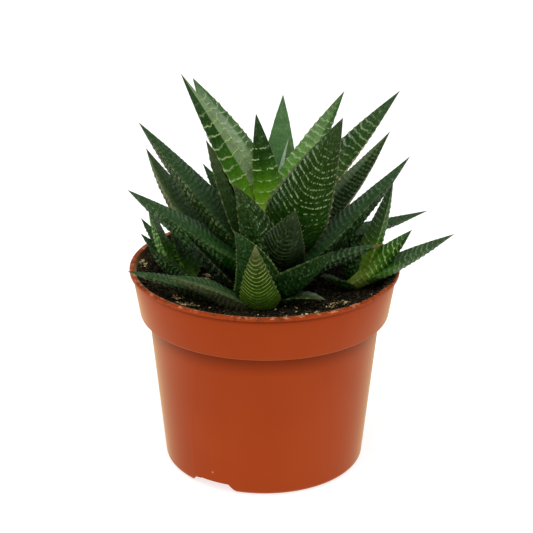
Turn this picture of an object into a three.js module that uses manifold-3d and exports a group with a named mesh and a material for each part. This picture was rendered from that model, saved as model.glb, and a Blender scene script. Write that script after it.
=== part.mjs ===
// A potted haworthia: one grown rosette and two young offsets, standing in a round plastic nursery pot.
// Millimetres, +Z up. The pot stands on z = 0, and the plant's front looks along -Y.
import * as THREE from "three";
import { mergeVertices } from "three/addons/utils/BufferGeometryUtils.js";
import Module from "manifold-3d";

const wasm = await Module();
wasm.setup();

// Gap between neighbouring pieces that touch in life
const GAP = 0.35;

// Pot
const ROUND_SIDES = 48;
const POT_HEIGHT = 92;
const LIP_RADIUS = 60;
const LIP_HEIGHT = 1.6;
const LIP_CHAMFER = 0.5;
const WALL = 1.2;
const BAND_TOP_RADIUS = 58.8;
const BAND_BOTTOM_RADIUS = 55.5;
const BAND_BOTTOM_Z = 70.6;
const BODY_TOP_RADIUS = 51.7;
const BODY_BOTTOM_RADIUS = 44.6;
const CORNER_RADIUS = 3;
const FOOT_RING_WIDTH = 1.8;
const FLOOR_UNDERSIDE_Z = 3.6;
const FLOOR_TOP_Z = 5.4;
const NOTCH_BEARING = -121;
const NOTCH_HEIGHT = 4.2;
const NOTCH_FOOT_WIDTH = 24;
const NOTCH_HEAD_WIDTH = 16.6;
const DRAIN_HOLES = 4;
const DRAIN_HOLE_RADIUS = 3.5;
const DRAIN_CIRCLE_RADIUS = 27;

// Soil
const SOIL_Z = 86;
const LOWEST_SOIL_EDGE_Z = 88;
const SOIL_BANK_HEIGHT = 4.8;
const SOIL_BANK_REACH = 12;
const SOIL_RISE_TO_RIGHT = 0.014;
const SOIL_ROUGHNESS = 1.1;
const SOIL_TOP_RINGS = 5;
const CALM_SOIL_REACH = 6;
const CALM_SOIL_FADE = 10;
const CRUMB_RADIUS = 1.7;
const CLUMP_SPREAD = 5.5;

// Plant
const LEAF_THICKNESS_SHARE = 0.5;
const LEAF_HOLLOW_SHARE = 0.1;
const LEAF_FOOT_SHARE = 0.8;
const LEAF_SWELL_END = 0.22;
const TIP_HALF_WIDTH = 0.45;
const TIP_HALF_THICKNESS = 0.3;
const RIDGE_PITCH = 9;
const RIDGE_HEIGHT = 0.7;
const RIDGE_SAG_SHARE = 0.35;
const LAST_RIDGE = 0.93;
const ROOT_LENGTH = 5;
const ROOT_WIDTH_SHARE = 0.55;
const ROOT_INWARD_SHARE = 0.7;
const ROOTSTOCK_DEPTH = 12;
const STEM_HEAD_SHARE = 0.8;
const SLIVER_SIZE = 0.03;

// Each rosette's stem: foot on the soil, lean per mm of height, and size.
const STEMS = {
  main: { foot: [1, -19], lean: [0.06, 0.4], radius: 11, height: 31 },
  left: { foot: [-34, 3], lean: [0, 0], radius: 5, height: 4 },
  right: { foot: [40, -10], lean: [0, 0], radius: 6, height: 5 },
};

// A leaf runs from its foot on the stem to its tip, both measured from the pot's foot and axis.
// bow lifts its middle off the straight line, to the side of its upper face, and sway moves it sideways.
// roll turns the leaf about its length, and faces is the bearing that a steep leaf's lower face looks to.
const MAIN_LEAVES = [
  // Crown, from the left round to the right
  { foot: [3, -8, 113.5], tip: [-36.5, 6, 178.5], width: 15.5, roll: -25, taper: 2.2, thickness: 0.7 },
  { foot: [4, -4, 117.5], tip: [-32, 24, 171], width: 21, roll: -30, taper: 2.2 },
  { foot: [3, -6, 119.5], tip: [-4, 6, 160.5], width: 15 },
  { foot: [5.5, 0, 120.5], tip: [8, 34, 160.5], width: 18, bow: -1, taper: 1.7 },
  { foot: [7, -4, 120.5], tip: [10.5, 14, 147], width: 9, bow: -1 },
  { foot: [4.5, -4, 121.5], tip: [35, 22, 166], width: 15.5, roll: 20, taper: 1.9, thickness: 0.7 },
  { foot: [11, -10, 108.5], tip: [32.5, -26, 169], width: 30, bow: -3, faces: -100, taper: 1.7 },
  { foot: [3, -8, 110], tip: [58.5, 8, 170.5], width: 20, roll: 22, taper: 2.2, thickness: 0.8 },
  // Upper whorl at the front
  { foot: [-5.5, -16, 108], tip: [-25.5, -6, 152.5], width: 19.5, taper: 2.2 },
  { foot: [0, -26, 90], tip: [-13.5, -26, 139.5], width: 22, bow: -3, sway: -4, faces: -80 },
  { foot: [5, -20, 101.5], tip: [13, -40, 133], width: 24, bow: -3, faces: -95 },
  // Outer leaves, left
  { foot: [-4, -10, 105], tip: [-55, 4, 157], width: 22, thickness: 0.95 },
  { foot: [-8.5, -8, 96.5], tip: [-52.5, 12, 142.5], width: 23, bow: -4, thickness: 0.95 },
  { foot: [-6.5, -15, 101], tip: [-59, -16, 133], width: 23, thickness: 0.9 },
  { foot: [-4, -2, 104.5], tip: [-28, 26, 130.5], width: 14 },
  { foot: [-3, -4, 110], tip: [-24.5, 20, 145], width: 14 },
  { foot: [-11.5, -20, 91], tip: [-33, -24, 114.5], width: 15, thickness: 0.8 },
  // Outer leaves, right
  { foot: [6.5, -8, 100], tip: [55.5, 20, 148], width: 20, roll: 10, bow: -3, thickness: 0.85 },
  { foot: [4.5, -14, 91.5], tip: [62.5, -8, 146], width: 22, roll: 5, bow: -1.5, thickness: 0.9 },
  { foot: [9, -2, 103], tip: [74, 24, 109], width: 16, bow: -1, thickness: 0.8 },
  { foot: [9, -18, 94], tip: [51.5, -24, 111.5], width: 16, bow: 2, thickness: 0.7 },
  // Low leaves at the front
  { foot: [-2.5, -30, 86], tip: [-13, -36, 122], width: 22.5, bow: -3, sway: -4, faces: -95 },
  { foot: [-1, -30, 85.5], tip: [-4, -43, 118.5], width: 18.5, bow: -5, faces: -95 },
  { foot: [2.5, -25, 95], tip: [29, -42, 115.5], width: 22, roll: -10, thickness: 0.95 },
  { foot: [6, -28, 87.5], tip: [26, -42, 93], width: 13, bow: 2 },
  { foot: [-6, -28, 86], tip: [-42, -38, 102], width: 19, bow: 2, thickness: 0.8 },
  { foot: [-8.5, -22, 84.5], tip: [-59, -30, 101], width: 18, bow: 1, thickness: 0.7 },
  // Back of the plant
  { foot: [6, -4, 104], tip: [30, 36, 128], width: 18 },
  { foot: [3, -3, 100], tip: [12, 44, 122], width: 18 },
  { foot: [-2, -4, 102], tip: [-12, 42, 126], width: 18 },
  { foot: [-5, -6, 98], tip: [-34, 34, 118], width: 18 },
  { foot: [8, -6, 96], tip: [46, 30, 112], width: 16 },
  { foot: [0, -5, 92], tip: [-4, 46, 104], width: 17 },
  { foot: [-8, -8, 93], tip: [-46, 26, 106], width: 16 },
];
const LEFT_LEAVES = [
  { foot: [-36.5, 0, 87.5], tip: [-51.5, 2, 122], width: 13.5, bow: -1, thickness: 0.8 },
  { foot: [-32, -2, 88], tip: [-51, -8, 103], width: 16.5, thickness: 0.8 },
  { foot: [-29.5, 2, 86], tip: [-41, 4, 109], width: 14, bow: -2, thickness: 0.8 },
  { foot: [-38, 5, 88], tip: [-56, 20, 106.5], width: 10 },
  { foot: [-38, 4, 87.5], tip: [-56, 16, 100.5], width: 10 },
  { foot: [-35, 6, 88], tip: [-38, 24, 104], width: 11 },
  { foot: [-33, 5, 88], tip: [-23, 20, 100], width: 10 },
];
const RIGHT_LEAVES = [
  { foot: [38, -8, 87], tip: [56, -2, 133.5], width: 17, bow: -1, thickness: 0.8 },
  { foot: [38.5, -11, 91], tip: [64, -12, 113.5], width: 22, thickness: 0.7 },
  { foot: [42, -10, 91], tip: [82, -18, 114], width: 21, thickness: 0.5 },
  { foot: [37, -13, 88.5], tip: [24, -24, 96.5], width: 13, bow: 1 },
  { foot: [39, -7, 88], tip: [38.6, -2.5, 112], width: 9, faces: -90, thickness: 0.5 },
  { foot: [41, -5, 88], tip: [43, 10, 99], width: 12 },
  { foot: [43, -6, 89], tip: [60, 6, 101], width: 13 },
];

// Clumps of light grit on the soil: place, and how many crumbs
const CLUMPS = [
  [-37, -24, 3],
  [-30, -33, 2],
  [-10, -44, 2],
  [3, -47, 3],
  [16, -41, 3],
  [23, -41, 2],
  [30, -33, 2],
  [37, -27, 3],
  [-28, 28, 2],
  [34, 24, 2],
];

// Repeatable random numbers between 0 and 1
function makeRandom(seed) {
  let state = seed;
  return () => {
    state = (state * 1664525 + 1013904223) % 4294967296;
    return state / 4294967296;
  };
}

function toSolid(geometry) {
  const bare = geometry.index ? geometry.toNonIndexed() : geometry.clone();
  bare.deleteAttribute("normal");
  bare.deleteAttribute("uv");
  const merged = mergeVertices(bare, 1e-4);
  const vertProperties = new Float32Array(merged.attributes.position.array);
  const triVerts = new Uint32Array(merged.index.array);
  return new wasm.Manifold(new wasm.Mesh({ numProp: 3, vertProperties, triVerts }));
}

function toMesh(name, solid, colour, roughness) {
  const { vertProperties, triVerts } = solid.getMesh();
  const geometry = new THREE.BufferGeometry();
  geometry.setAttribute("position", new THREE.BufferAttribute(new Float32Array(vertProperties), 3));
  geometry.setIndex(new THREE.BufferAttribute(new Uint32Array(triVerts), 1));
  geometry.computeVertexNormals();
  const material = new THREE.MeshStandardMaterial({ color: colour, roughness, metalness: 0 });
  const mesh = new THREE.Mesh(geometry, material);
  mesh.name = name;
  return mesh;
}

// A turned solid about +Z from an outline of [radius, height] points
function turned(outline, sides) {
  const points = outline.map(([radius, height]) => new THREE.Vector2(radius, height));
  return new THREE.LatheGeometry(points, sides).rotateX(Math.PI / 2);
}

function cylinderSolid(radius, bottomZ, topZ, sides) {
  const outline = [[0, bottomZ], [radius, bottomZ], [radius, topZ], [0, topZ]];
  return toSolid(turned(outline, sides));
}

const clamp = (value, low, high) => Math.min(high, Math.max(low, value));

// Radius of the inner wall of the pot's body at a height
function innerBodyRadius(z) {
  const share = z / BAND_BOTTOM_Z;
  return BODY_BOTTOM_RADIUS + (BODY_TOP_RADIUS - BODY_BOTTOM_RADIUS) * share - WALL;
}

// Radius of the inner wall of the wider band under the lip
function innerBandRadius(z) {
  const share = (z - BAND_BOTTOM_Z) / (POT_HEIGHT - BAND_BOTTOM_Z);
  return BAND_BOTTOM_RADIUS + (BAND_TOP_RADIUS - BAND_BOTTOM_RADIUS) * share - WALL;
}

// Thin-walled pot: foot ring, raised floor, tapered body, stepped band and a beaded lip
function potSolid() {
  const shelfZ = BAND_BOTTOM_Z + WALL;
  const ringRadius = BODY_BOTTOM_RADIUS - CORNER_RADIUS;
  const corner = [0, 30, 60, 90].map((degrees) => {
    const angle = THREE.MathUtils.degToRad(degrees);
    return [ringRadius + CORNER_RADIUS * Math.sin(angle), CORNER_RADIUS * (1 - Math.cos(angle))];
  });
  const outline = [
    [0, FLOOR_UNDERSIDE_Z],
    [ringRadius - FOOT_RING_WIDTH - WALL, FLOOR_UNDERSIDE_Z],
    [ringRadius - FOOT_RING_WIDTH, 0],
    ...corner,
    [BODY_TOP_RADIUS, BAND_BOTTOM_Z],
    [BAND_BOTTOM_RADIUS, BAND_BOTTOM_Z],
    [BAND_TOP_RADIUS, POT_HEIGHT - LIP_HEIGHT],
    [LIP_RADIUS, POT_HEIGHT - LIP_HEIGHT],
    [LIP_RADIUS, POT_HEIGHT - LIP_CHAMFER],
    [LIP_RADIUS - LIP_CHAMFER, POT_HEIGHT],
    [innerBandRadius(POT_HEIGHT), POT_HEIGHT],
    [innerBandRadius(shelfZ), shelfZ],
    [innerBodyRadius(shelfZ), shelfZ],
    [innerBodyRadius(FLOOR_TOP_Z + CORNER_RADIUS), FLOOR_TOP_Z + CORNER_RADIUS],
    [innerBodyRadius(FLOOR_TOP_Z) - CORNER_RADIUS / 2, FLOOR_TOP_Z],
    [0, FLOOR_TOP_Z],
  ];
  let pot = toSolid(turned(outline, ROUND_SIDES));
  for (const bearing of [NOTCH_BEARING, NOTCH_BEARING + 180]) {
    pot = pot.subtract(drainNotch(bearing));
  }
  const turn = 360 / DRAIN_HOLES;
  for (let i = 0; i < DRAIN_HOLES; i++) {
    const bearing = THREE.MathUtils.degToRad(NOTCH_BEARING + (i + 0.5) * turn);
    const place = [DRAIN_CIRCLE_RADIUS * Math.cos(bearing), DRAIN_CIRCLE_RADIUS * Math.sin(bearing), 0];
    pot = pot.subtract(cylinderSolid(DRAIN_HOLE_RADIUS, 0, FLOOR_TOP_Z + 1, 16).translate(place));
  }
  return pot;
}

// The wedge that is cut through the foot ring, wider at the foot than at its head
function drainNotch(bearing) {
  const slope = (NOTCH_FOOT_WIDTH - NOTCH_HEAD_WIDTH) / 2 / NOTCH_HEIGHT;
  const below = 1;
  const shape = new THREE.Shape([
    new THREE.Vector2(-NOTCH_FOOT_WIDTH / 2 - slope * below, -below),
    new THREE.Vector2(NOTCH_FOOT_WIDTH / 2 + slope * below, -below),
    new THREE.Vector2(NOTCH_HEAD_WIDTH / 2, NOTCH_HEIGHT),
    new THREE.Vector2(-NOTCH_HEAD_WIDTH / 2, NOTCH_HEIGHT),
  ]);
  const innerReach = BODY_BOTTOM_RADIUS - CORNER_RADIUS - FOOT_RING_WIDTH - WALL;
  const wedge = new THREE.ExtrudeGeometry(shape, { depth: BODY_BOTTOM_RADIUS, bevelEnabled: false });
  wedge.translate(0, 0, innerReach);
  wedge.rotateX(Math.PI / 2);
  wedge.rotateZ(THREE.MathUtils.degToRad(bearing + 90));
  return toSolid(wedge);
}

// How far a place is from the nearest stem, beyond that stem's own leaves
function clearOfStems(x, y) {
  const distances = Object.values(STEMS).map(({ foot, radius }) => {
    return Math.hypot(x - foot[0], y - foot[1]) - radius;
  });
  return Math.min(...distances);
}

// Soil surface: level and calm where leaves rest on it. Elsewhere it is rough, rises to the right and is
// banked up against the pot.
function soilRelief(x, y, random) {
  const roughShare = clamp((clearOfStems(x, y) - CALM_SOIL_REACH) / CALM_SOIL_FADE, 0, 1);
  const rise = SOIL_RISE_TO_RIGHT * x;
  const fromEdge = innerBandRadius(SOIL_Z) - Math.hypot(x, y);
  const bank = SOIL_BANK_HEIGHT * clamp(1 - fromEdge / SOIL_BANK_REACH, 0, 1);
  return roughShare * (rise + bank + SOIL_ROUGHNESS * (random() - 0.75));
}

// Soil fills the pot to just under the lip, with a plain hole for each rosette's rootstock
function soilSolid() {
  const bottomZ = FLOOR_TOP_Z + GAP;
  const shelfZ = BAND_BOTTOM_Z + WALL + GAP;
  const edgeRadius = innerBandRadius(LOWEST_SOIL_EDGE_Z) - GAP;
  const surface = [];
  for (let i = 0; i < SOIL_TOP_RINGS; i++) {
    surface.push([edgeRadius * (1 - i / SOIL_TOP_RINGS), SOIL_Z]);
  }
  const outline = [
    [0, bottomZ],
    [innerBodyRadius(FLOOR_TOP_Z) - CORNER_RADIUS / 2 - GAP, bottomZ],
    [innerBodyRadius(FLOOR_TOP_Z + CORNER_RADIUS) - GAP, FLOOR_TOP_Z + CORNER_RADIUS + GAP],
    [innerBodyRadius(shelfZ) - GAP, shelfZ],
    [innerBandRadius(shelfZ) - GAP, shelfZ],
    ...surface,
    [0, SOIL_Z],
  ];
  const geometry = turned(outline, ROUND_SIDES);
  geometry.deleteAttribute("normal");
  geometry.deleteAttribute("uv");
  const merged = mergeVertices(geometry, 1e-4);
  const random = makeRandom(11);
  const position = merged.attributes.position;
  for (let i = 0; i < position.count; i++) {
    const [x, y, z] = [position.getX(i), position.getY(i), position.getZ(i)];
    if (z > SOIL_Z - 0.01) position.setZ(i, z + soilRelief(x, y, random));
  }
  let soil = toSolid(merged);
  for (const [x, y, count] of CLUMPS) {
    for (let i = 0; i < count; i++) soil = soil.add(crumb(x, y, random));
  }
  for (const { foot, radius } of Object.values(STEMS)) {
    const hole = cylinderSolid(radius + GAP, SOIL_Z - ROOTSTOCK_DEPTH - GAP, SOIL_Z + 3, 24);
    soil = soil.subtract(hole.translate([foot[0], foot[1], 0]));
  }
  return soil;
}

// One squashed crumb of grit, half sunk near a clump's place
function crumb(x, y, random) {
  const size = CRUMB_RADIUS * (0.6 + 0.6 * random());
  const stone = new THREE.IcosahedronGeometry(size, 0);
  stone.rotateX(random() * Math.PI);
  stone.rotateZ(random() * Math.PI);
  stone.scale(1, 1, 0.7);
  const aside = () => CLUMP_SPREAD * (random() - 0.5);
  stone.translate(x + aside(), y + aside(), SOIL_Z - 0.3 * size);
  return toSolid(stone);
}

// Half width along a leaf as a share of its widest: it swells from the foot and narrows to the tip
function widthShare(t, taper) {
  const along = Math.max(t, 0);
  const swell = Math.min(1, along / LEAF_SWELL_END);
  return (1 - along ** taper) * (LEAF_FOOT_SHARE + (1 - LEAF_FOOT_SHARE) * swell);
}

// Points round a leaf: three over the hollow upper face, then four under the keeled lower face
const SECTION = [
  { across: -1, under: false },
  { across: -0.4, under: false },
  { across: 0.4, under: false },
  { across: 1, under: true },
  { across: 0.55, under: true },
  { across: 0, under: true },
  { across: -0.55, under: true },
];

// How far a point of the section stands off the leaf's middle plane, up positive
function sectionHeight({ across, under }, t, halfWidth, thickness) {
  const middle = 1 - across * across;
  if (!under) {
    return -LEAF_HOLLOW_SHARE * middle * halfWidth * (1 - t) + TIP_HALF_THICKNESS * middle * t;
  }
  if (Math.abs(across) === 1) return 0;
  const keel = 2.1 - 0.8 * t;
  const deep = 1 - Math.abs(across) ** keel;
  return -deep * (thickness * halfWidth + TIP_HALF_THICKNESS);
}

// One leaf as a closed solid: ridged rings from a root inside the stem to a blunt tip
function leafSolid(leaf, stem) {
  const { width, bow = 0, sway = 0, roll = 0, taper = 2, thickness = LEAF_THICKNESS_SHARE } = leaf;
  const foot = new THREE.Vector3(...leaf.foot);
  const chord = new THREE.Vector3(...leaf.tip).sub(foot);
  const length = chord.length();
  const along = chord.clone().normalize();
  const up = new THREE.Vector3(0, 0, 1);
  if (leaf.faces !== undefined) {
    const bearing = THREE.MathUtils.degToRad(leaf.faces);
    up.set(-Math.cos(bearing), -Math.sin(bearing), 0);
  }
  const normal = up.addScaledVector(along, -up.dot(along)).normalize();
  const side = along.clone().cross(normal);
  normal.applyAxisAngle(along, THREE.MathUtils.degToRad(roll));
  side.applyAxisAngle(along, THREE.MathUtils.degToRad(roll));

  const centre = (t) => {
    const arch = 4 * t * (1 - t);
    const point = foot.clone().addScaledVector(chord, t);
    return point.addScaledVector(normal, bow * arch).addScaledVector(side, sway * arch);
  };
  const halfWidth = (t) => Math.max((width / 2) * widthShare(t, taper), TIP_HALF_WIDTH);
  const pointAt = (spot, t, ridge) => {
    const at = t + (RIDGE_SAG_SHARE * halfWidth(t) * (spot.across ** 2 - 0.5)) / length;
    const forward = centre(at + 0.001).sub(centre(at - 0.001)).normalize();
    const normalHere = normal.clone().addScaledVector(forward, -normal.dot(forward)).normalize();
    const sideHere = forward.clone().cross(normalHere);
    const half = halfWidth(at);
    const lift = Math.abs(spot.across) === 1 ? 0 : ridge * (spot.under ? -1 : 0.6);
    const height = sectionHeight(spot, clamp(at, 0, 1), half, thickness) + lift;
    return centre(at).addScaledVector(sideHere, spot.across * half).addScaledVector(normalHere, height);
  };

  const ridges = Math.max(4, Math.round(length / RIDGE_PITCH));
  const rings = [rootRing(pointAt, foot, along, stem)];
  for (let i = 0; i <= 2 * ridges; i++) {
    const t = (LAST_RIDGE * i) / (2 * ridges);
    const ridge = i % 2 === 1 ? RIDGE_HEIGHT * clamp(2 * (1 - t), 0, 1) : 0;
    rings.push(SECTION.map((spot) => pointAt(spot, t, ridge)));
  }
  rings.push(SECTION.map((spot) => pointAt(spot, 1, 0)));
  return loft(rings);
}

// The leaf's root narrows and runs back into the stem, parallel to the first ring
function rootRing(pointAt, foot, along, stem) {
  const height = foot.z - SOIL_Z;
  const axis = new THREE.Vector3(
    stem.foot[0] + stem.lean[0] * height,
    stem.foot[1] + stem.lean[1] * height,
    foot.z,
  );
  const inward = axis.sub(foot);
  inward.addScaledVector(along, -inward.dot(along));
  const centre = foot.clone().addScaledVector(along, -ROOT_LENGTH);
  centre.addScaledVector(inward, ROOT_INWARD_SHARE);
  return SECTION.map((spot) => {
    return pointAt(spot, 0, 0).sub(foot).multiplyScalar(ROOT_WIDTH_SHARE).add(centre);
  });
}

// A closed solid through rings of equal count, with a flat fan over each end
function loft(rings) {
  const count = rings[0].length;
  const ends = [rings[0], rings[rings.length - 1]].map((ring) => {
    return ring.reduce((sum, point) => sum.add(point), new THREE.Vector3()).divideScalar(count);
  });
  const points = [...rings.flat(), ...ends];
  const first = rings.length * count;
  const last = first + 1;
  const faces = [];
  for (let ring = 0; ring + 1 < rings.length; ring++) {
    for (let i = 0; i < count; i++) {
      const a = ring * count + i;
      const b = ring * count + ((i + 1) % count);
      faces.push(a, b, b + count, a, b + count, a + count);
    }
  }
  const top = (rings.length - 1) * count;
  for (let i = 0; i < count; i++) {
    const next = (i + 1) % count;
    faces.push(first, next, i, last, top + i, top + next);
  }
  const vertProperties = new Float32Array(points.flatMap((point) => point.toArray()));
  const triVerts = new Uint32Array(faces);
  return new wasm.Manifold(new wasm.Mesh({ numProp: 3, vertProperties, triVerts }));
}

// Stem with its rootstock: upright below the soil, leaning and narrowing above it
function stemSolid({ foot, lean, radius, height }) {
  const outline = [
    [0, -ROOTSTOCK_DEPTH],
    [0.7 * radius, -ROOTSTOCK_DEPTH],
    [radius, 3 - ROOTSTOCK_DEPTH],
    [radius, 0],
    [STEM_HEAD_SHARE * radius, height],
    [0, height],
  ];
  const geometry = turned(outline, 24);
  const position = geometry.attributes.position;
  for (let i = 0; i < position.count; i++) {
    const up = Math.max(position.getZ(i), 0);
    position.setX(i, position.getX(i) + lean[0] * up);
    position.setY(i, position.getY(i) + lean[1] * up);
  }
  return toSolid(geometry).translate([foot[0], foot[1], SOIL_Z]);
}

// One rosette: its leaves grown into one stem, and cut off level where they would enter the soil.
// Small pockets shut in between the leaf bases count as negative pieces and are filled.
function rosetteSolid(stem, leaves) {
  const leafSolids = leaves.map((leaf) => leafSolid(leaf, stem));
  const grown = wasm.Manifold.union([stemSolid(stem), ...leafSolids]);
  const reach = innerBandRadius(SOIL_Z);
  const around = cylinderSolid(reach, SOIL_Z - 2 * ROOTSTOCK_DEPTH, SOIL_Z + GAP, ROUND_SIDES);
  const bore = cylinderSolid(stem.radius + 0.05, SOIL_Z - 3 * ROOTSTOCK_DEPTH, SOIL_Z + 1, 24);
  const ground = around.subtract(bore.translate([stem.foot[0], stem.foot[1], 0]));
  const trimmed = grown.subtract(ground).simplify(SLIVER_SIZE);
  return wasm.Manifold.union(trimmed.decompose().filter((piece) => piece.volume() > 0));
}

const plant = new THREE.Group();
plant.add(toMesh("pot", potSolid(), 0xa5552f, 0.55));
plant.add(toMesh("soil", soilSolid(), 0x2b211b, 0.95));
plant.add(toMesh("main_rosette", rosetteSolid(STEMS.main, MAIN_LEAVES), 0x3f6f38, 0.5));
plant.add(toMesh("left_offset_rosette", rosetteSolid(STEMS.left, LEFT_LEAVES), 0x4f7f3c, 0.5));
plant.add(toMesh("right_offset_rosette", rosetteSolid(STEMS.right, RIGHT_LEAVES), 0x5c9a3d, 0.5));

// The leaves overhang unevenly, so the whole is shifted until its bounding box stands centred on the origin
const centre = new THREE.Box3().setFromObject(plant).getCenter(new THREE.Vector3());
plant.position.set(-centre.x, -centre.y, 0);

export default plant;
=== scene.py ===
import math
import random

import bmesh
import bpy
from mathutils import Matrix, Vector, noise


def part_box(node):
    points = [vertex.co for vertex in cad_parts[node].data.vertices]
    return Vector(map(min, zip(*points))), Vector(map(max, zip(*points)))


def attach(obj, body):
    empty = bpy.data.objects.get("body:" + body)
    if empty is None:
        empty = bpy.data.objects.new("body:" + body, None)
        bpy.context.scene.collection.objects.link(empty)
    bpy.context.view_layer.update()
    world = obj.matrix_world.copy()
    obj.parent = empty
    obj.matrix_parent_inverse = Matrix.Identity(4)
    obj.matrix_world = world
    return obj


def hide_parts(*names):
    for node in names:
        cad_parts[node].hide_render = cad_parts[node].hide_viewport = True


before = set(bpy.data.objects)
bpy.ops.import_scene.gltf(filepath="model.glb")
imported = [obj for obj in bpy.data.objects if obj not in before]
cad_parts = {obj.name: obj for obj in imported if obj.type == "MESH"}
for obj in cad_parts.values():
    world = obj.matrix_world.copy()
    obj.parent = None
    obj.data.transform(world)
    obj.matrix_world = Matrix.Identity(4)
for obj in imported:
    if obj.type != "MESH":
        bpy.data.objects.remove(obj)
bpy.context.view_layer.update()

# Pot: one moulded piece of thin terracotta-coloured plastic, with a stepped band under its beaded lip.
# It is turned from one outline, its edges are rounded, and the foot ring is notched so that water drains.
MM = 0.001
pot_low, pot_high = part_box("pot")
POT_AXIS = Vector(((pot_low.x + pot_high.x) / 2, (pot_low.y + pot_high.y) / 2, pot_low.z))
POT_HEIGHT = pot_high.z - pot_low.z
LIP_RADIUS = (pot_high.x - pot_low.x) / 2
LIP_HEIGHT = 1.6 * MM
WALL = 1.2 * MM
BAND_TOP_RADIUS = LIP_RADIUS - WALL
BAND_BOTTOM_RADIUS = 55.5 * MM
BAND_BOTTOM_Z = 70.6 * MM
BODY_TOP_RADIUS = 51.7 * MM
BODY_BOTTOM_RADIUS = 44.6 * MM
FOOT_RING_WIDTH = 1.8 * MM
CORNER_RADIUS = 3 * MM
FLOOR_UNDERSIDE_Z = 3.6 * MM
FLOOR_TOP_Z = 5.4 * MM
NOTCH_BEARING = math.radians(-121)
NOTCH_HEIGHT = 4.2 * MM
NOTCH_FOOT_WIDTH = 24 * MM
NOTCH_HEAD_WIDTH = 16.6 * MM
DRAIN_HOLE_RADIUS = 3.5 * MM
DRAIN_HOLES = 4
DRAIN_CIRCLE_RADIUS = 27 * MM
POT_STEPS = 144
NEAR = 2e-5


def inner_body_radius(z):
    share = z / BAND_BOTTOM_Z
    return BODY_BOTTOM_RADIUS + (BODY_TOP_RADIUS - BODY_BOTTOM_RADIUS) * share - WALL


def inner_band_radius(z):
    share = (z - BAND_BOTTOM_Z) / (POT_HEIGHT - BAND_BOTTOM_Z)
    return BAND_BOTTOM_RADIUS + (BAND_TOP_RADIUS - BAND_BOTTOM_RADIUS) * share - WALL


def turned(outline, steps):
    """A bmesh turned round the pot's axis from (radius, height) points that start and end on the axis."""
    bm = bmesh.new()
    verts = [bm.verts.new(POT_AXIS + Vector((radius, 0, height))) for radius, height in outline]
    edges = [bm.edges.new(pair) for pair in zip(verts, verts[1:])]
    bmesh.ops.spin(
        bm, geom=verts + edges, cent=POT_AXIS, axis=(0, 0, 1), angle=2 * math.pi, steps=steps, use_merge=True
    )
    bmesh.ops.remove_doubles(bm, verts=bm.verts, dist=1e-6)
    bmesh.ops.recalc_face_normals(bm, faces=bm.faces)
    return bm


def round_rings(bm, radius, height, offset, segments):
    """Rounds the turned edge that runs round the axis at this radius and height."""
    def on_ring(vert):
        reach = math.hypot(vert.co.x - POT_AXIS.x, vert.co.y - POT_AXIS.y)
        return abs(reach - radius) < NEAR and abs(vert.co.z - POT_AXIS.z - height) < NEAR
    edges = [edge for edge in bm.edges if on_ring(edge.verts[0]) and on_ring(edge.verts[1])]
    bmesh.ops.bevel(
        bm, geom=edges, offset=offset, affect="EDGES", segments=segments, profile=0.5, material=-1
    )


def finished(name, bm, material, body, node, smooth_angle=35):
    """Turns a bmesh into a piece that rides on the plant and stands for a node of it."""
    mesh = bpy.data.meshes.new(name)
    bm.to_mesh(mesh)
    bm.free()
    mesh.shade_smooth()
    mesh.set_sharp_from_angle(angle=math.radians(smooth_angle))
    mesh.materials.append(material)
    piece = bpy.data.objects.new(name, mesh)
    bpy.context.collection.objects.link(piece)
    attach(piece, body)
    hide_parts(node)
    return piece


class Socket:
    """A value or colour in a material. Operators on values add Math nodes, and add() adds any node."""

    def __init__(self, tree, output):
        self.tree = tree
        self.output = output

    def add(self, kind, settings, inputs, output=0):
        """A node of this kind with its settings and the values or links of its sockets."""
        node = self.tree.nodes.new(kind)
        for name, value in settings.items():
            setattr(node, name, value)
        for key, value in inputs.items():
            if isinstance(value, Socket):
                self.tree.links.new(value.output, node.inputs[key])
            else:
                node.inputs[key].default_value = value
        return Socket(self.tree, node.outputs[output])

    def maths(self, operation, *others):
        return self.add("ShaderNodeMath", {"operation": operation}, dict(enumerate((self, *others))))

    def __add__(self, other):
        return self.maths("ADD", other)

    def __radd__(self, other):
        return self.maths("ADD", other)

    def __sub__(self, other):
        return self.maths("SUBTRACT", other)

    def __rsub__(self, other):
        return (self * -1) + other

    def __mul__(self, other):
        return self.maths("MULTIPLY", other)

    def __rmul__(self, other):
        return self.maths("MULTIPLY", other)

    def __abs__(self):
        return self.maths("ABSOLUTE")

    def between(self, low, high):
        """0 below low, 1 above high, and smooth from one to the other."""
        inputs = {"Value": self, "From Min": low, "From Max": high}
        return self.add("ShaderNodeMapRange", {"interpolation_type": "SMOOTHSTEP"}, inputs)

    def mix(self, first, second):
        """first where this value is 0 and second where it is 1, both colours."""
        return self.add("ShaderNodeMix", {"data_type": "RGBA"}, {0: self, 6: first, 7: second}, output=2)

    def mixed_with(self, colour, share):
        """This colour mixed with a plain one by a fixed share."""
        return self.add("ShaderNodeMix", {"data_type": "RGBA"}, {0: share, 6: self, 7: colour}, output=2)

    def noise(self, scale, detail=2.0, roughness=0.5):
        inputs = {"Vector": self, "Scale": scale, "Detail": detail, "Roughness": roughness}
        return self.add("ShaderNodeTexNoise", {}, inputs)

    def cells(self, scale):
        """The distance to the middle of the nearest of many scattered cells."""
        return self.add("ShaderNodeTexVoronoi", {"feature": "F1"}, {"Vector": self, "Scale": scale})

    def bump(self, height, strength, distance):
        inputs = {"Strength": strength, "Distance": distance, "Height": height}
        return self.add("ShaderNodeBump", {}, inputs)

    def attribute(self, name, output=0):
        return self.add("ShaderNodeAttribute", {"attribute_name": name}, {}, output)


def srgb(red, green, blue):
    """A colour as seen on a screen, 0 to 255, in the form that a socket takes."""
    def linear(value):
        share = value / 255
        return share / 12.92 if share <= 0.04045 else ((share + 0.055) / 1.055) ** 2.4
    return (linear(red), linear(green), linear(blue), 1.0)


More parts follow.
